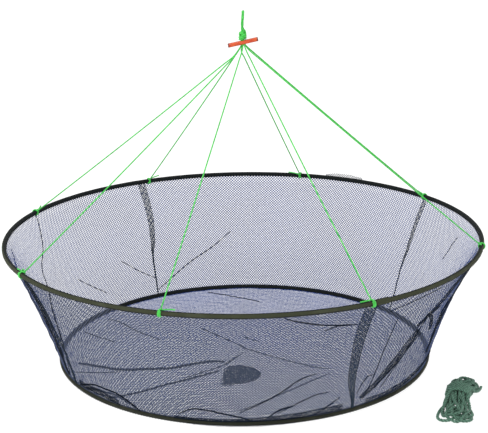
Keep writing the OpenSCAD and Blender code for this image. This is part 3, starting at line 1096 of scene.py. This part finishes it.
def make_ground_net():
    """The floor netting, in a left and a right half of one cut, and its folds, which are coloured near black
    as painted shade.
    """
    folds, lines = Pieces(), Pieces()
    creases = [(width, np.array(spots) / 1000) for width, spots in FLOOR_CREASES]
    # The folds are coloured near black, with a dark line along each: painted shade in the creases.
    for fold in add_creases(folds, floor_at, creases, 0.0016):
        lines.tube(fold + UP * 0.001, 0.0006)
    folds = place(folds.mesh("floor_creases", "OFBake"), THREAD_AND_FOLD_SHADE, "base_hoop", "netting")
    place(lines.mesh("floor_crease_shade_lines"), THREAD_AND_FOLD_SHADE, "base_hoop", "seam_thread")
    turn = np.radians(np.linspace(-90, 90, 49))
    for side, name in ((1, "right"), (-1, "left")):
        outline = level_way(turn)[:, :2] * FLOOR_R * side
        half = netting(lattice(outline, PITCH), floor_at, FLOOR_YARN_W, FLOOR_YARN_T)
        half = place(half.mesh(f"floor_net_{name}", "OFBake"), NET, "base_hoop", "netting", "floor_net")


def make_selvage():
    """Netting past the sewn sleeves: above the top hoop at the back, and out on the ground at the front."""
    for side, hoop, start, end, wide in (("top", TOP, 55, 66, 0.006), ("base", BASE, 254, 284, 0.005)):
        span = math.radians(end - start) * hoop.radius

        def edge(u, v):
            out = level_way(math.radians(start) + u / hoop.radius)
            reach = (0.3 + 0.7 * np.clip(np.sin(np.pi * u / span), 0, 1) ** 0.6) * v
            wave = 0.0012 * np.sin(u * 180 + 4 * np.sin(u * 31)) * v / wide
            if side == "top":
                past, height = wave + 0.4 * reach + 0.0015, hoop.middle[2] + hoop.sleeve_r * 0.9 + reach
            else:
                past, height = hoop.sleeve_r * 0.8 + reach, GROUND_Z + 0.0013 + 0.5 * np.abs(wave)
            return hoop.middle * [1, 1, 0] + out * (hoop.radius + past)[..., None] + UP * height[..., None]

        form = netting(lattice(oblong(0, span, 0, wide), 0.0026), edge, 0.0008, YARN_T)
        place(form.mesh(side + "_selvage", "OFBake"), PALE, side + "_hoop", "netting")


# The bait pocket's cut, counter-clockwise from its front left, in millimetres from the base hoop's middle.
POCKET = [(-36, -163), (-8, -160), (14, -150), (26, -128), (24, -113), (8, -100), (-8, -94), (-28, -97),
          (-34, -120)]
POCKET_MOUTH = [(26, -122), (18, -107), (6, -99), (-8, -94), (-20, -94.5), (-30, -99), (-34, -112)]


def make_pocket():
    """A leaf-shaped pocket of doubled netting on the floor, open at the back, with a thick hem there."""
    def roof(x, y, lift):
        rise = 0.0008 + 0.0026 * np.clip((y + 0.15) / 0.05, 0, 1) ** 1.5
        crown = np.clip(1 - ((x + 0.01) / 0.034) ** 2, 0, 1) ** 0.5
        height = rise * (0.25 + 0.75 * crown) + 0.0006 * np.sin(x * 400 + y * 150) + lift
        return floor_at(x, y) + UP * height[..., None]

    cut, mouth = np.array(POCKET) / 1000, np.array(POCKET_MOUTH) / 1000
    rim = smooth_line([mouth[-1], *cut[:5], mouth[0]], 0.0008)
    mouth = smooth_line(mouth, 0.0008)
    cloth = Pieces()
    for layer, turn in ((0.0, 0.5), (0.0011, 1.2)):
        netting(lattice(cut, 0.0031, turn), lambda x, y: roof(x, y, layer), YARN_W, 0.0005, form=cloth)
    cloth = place(cloth.mesh("bait_pocket_net", "OFBake"), SEAM, "base_hoop", "netting", "bait_pocket")
    hem = Pieces()
    route = roof(mouth[:, 0], mouth[:, 1], 0.001)
    thick = 0.0011 + 0.0002 * np.sin(run_of(route) * 900)
    hem.tube(route, thick, sides=10, strands=3, pitch=0.006, groove=0.8)
    hem.tube(roof(rim[:, 0], rim[:, 1], 0.0004), 0.0006)
    hem = place(hem.mesh("bait_pocket_hem"), THREAD_AND_FOLD_SHADE, "base_hoop", "seam_thread", "pocket_hem")


# ---- haul line ----


HANK_AT = (0.33, -0.24)
HANK_TURN = math.radians(75)
ROPE_D = 0.005
ROPE_STEP = 0.004
HANK_LAYER = 0.0051  # from one layer of turns to the next in the waist
HANK_WAIST = 0.014  # half its length
HANK_BOUND = 0.017  # how far from the middle the wraps hold the turns
HANK_MOUTH = 0.018  # where the loops start to spread
HANK_WRAPS = 5
WRAP_SIZE = (0.0197, 0.0136)  # sideways and up from the wraps' middle
HANK_END = [(0.0165, -0.009, 0.0268), (0.024, -0.0175, 0.02), (0.036, -0.0225, 0.0115),
            (0.05, -0.0235, 0.005), (0.064, -0.0215, 0.0027)]

# Each turn's loops, at the right and left end: reach and half width in millimetres, and lean in degrees.
HANK_LOOPS = [
    ((90, 12, -14), (86, 17, -20)), ((83, 11, -7), (74, 14, -10)), ((78, 10, 4), (68, 13, 6)),
    ((88, 11, -10), (89, 19, 14)), ((72, 12, 8), (78, 15, -25)), ((86, 10, 1), (62, 14, 0)),
    ((80, 12, -17), (83, 18, -15)), ((91, 10, -3), (72, 13, 10)), ((75, 11, -12), (88, 21, -6)),
    ((84, 10, 6), (66, 12, -18)), ((89, 12, -6), (80, 16, 4)),
]


def loop_spots(side, reach, half, lean, before, after, level):
    """A loop at one end of the hank, from one place in its waist to another."""
    reach, half, lean = reach / 1000, half / 1000, math.radians(lean)
    bend = np.radians([78, 40, 0, -40, -78]) * (1 if before[0] > after[0] else -1)
    neck = [0.014]
    along = np.concatenate([neck, reach - HANK_MOUTH - half + half * np.cos(bend), neck])
    beside = np.concatenate([[before[0] * 1.1], half * np.sin(bend), [after[0] * 1.1]])
    height = [before[1], *[level] * len(bend), after[1]]
    return np.stack([side * (HANK_MOUTH + along * math.cos(lean) - beside * math.sin(lean)),
                     beside * math.cos(lean) + along * math.sin(lean), height], 1)


def hank_route():
    """The haul line before it settles: turns through a waist, then wraps round it, with X along the hank."""
    spots = []
    low = ROPE_D * 1.65

    def waist(k, hand):
        return hand * (0.0029 + 0.0053 * (k % 3)), low + HANK_LAYER * (k // 3)

    for k, (right, left) in enumerate(HANK_LOOPS):
        there, back, again = waist(k, 1), waist(k, -1), waist(k + 1, 1)
        level = ROPE_D / 2 + 0.0024 * k
        for side, start, end, loop in ((1, there, back, right), (-1, back, again, left)):
            spots += [(x * side, *start) for x in (-HANK_WAIST, 0, HANK_WAIST)]
            spots += [*loop_spots(side, *loop, start, end, level)]
    swing = np.linspace(0.15, HANK_WRAPS + 0.2, HANK_WRAPS * 16) * 2 * np.pi
    beside, up = WRAP_SIZE[0] * np.cos(swing), low + HANK_LAYER * 1.5 + WRAP_SIZE[1] * np.sin(swing)
    spots += [*np.stack([np.linspace(-0.013, 0.012, len(swing)), beside, up], 1)]
    return smooth_line(spots + HANK_END, ROPE_STEP)


def relax(path, rounds):
    """Lets a rope's turns push each other apart and sink to the ground, held where its wraps bind it."""
    rest = np.linalg.norm(np.diff(path, axis=0), axis=1)
    held = (np.abs(path[:, 0]) < HANK_BOUND)[:, None]
    spot = path.copy()
    apart = np.triu(np.ones((len(path), len(path)), bool), 4)  # pairs that aren't close along the rope
    for step in range(rounds):
        spot[:, 2] -= 0.00012
        spot[1:-1] += 0.3 * ((spot[:-2] + spot[2:]) / 2 - spot[1:-1])
        if step % 4 == 0:
            square = (spot**2).sum(1)
            near = square[:, None] + square[None] - 2 * spot @ spot.T
            a, b = np.nonzero((near < (ROPE_D * 1.5) ** 2) & apart)
        for _ in range(2):
            gap = spot[a] - spot[b]
            length = np.maximum(np.linalg.norm(gap, axis=1), 1e-6)
            push = np.clip(ROPE_D * 1.02 - length, 0, None) * 0.25
            shift = gap / length[:, None] * push[:, None]
            np.add.at(spot, a, shift)
            np.subtract.at(spot, b, shift)
            link = np.diff(spot, axis=0)
            long = np.linalg.norm(link, axis=1)
            fix = link * (0.35 * (long - rest) / long)[:, None]
            spot[:-1] += fix
            spot[1:] -= fix
        spot[:, 2] = np.maximum(spot[:, 2], ROPE_D / 2)
        spot = np.where(held, path, spot)
    return spot


def make_hank():
    """The spare haul line, in a hank on the ground."""
    path = hank_route()
    path = relax(path, rounds=260)
    for _ in range(6):  # smooths out what the relaxing leaves
        path[1:-1] += 0.5 * ((path[:-2] + path[2:]) / 2 - path[1:-1])
    path = smooth_line(path, 0.00125)
    turn = np.array([math.cos(HANK_TURN), math.sin(HANK_TURN)])
    flat = path[:, :1] * turn + path[:, 1:2] * np.array([-turn[1], turn[0]])
    path = np.column_stack([flat + HANK_AT, path[:, 2] + GROUND_Z])
    form = Pieces()
    form.tube(path, ROPE_D / 2, sides=18, strands=3, pitch=0.0145, groove=0.6)
    hank = place(form.mesh("haul_rope"), ROPE, "rigging", "haul_line", "haul_line_hank")
    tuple(path[0])
    float(run_of(path)[-1])


make_wall()
make_ground_net()
make_pocket()
make_selvage()
make_hank()
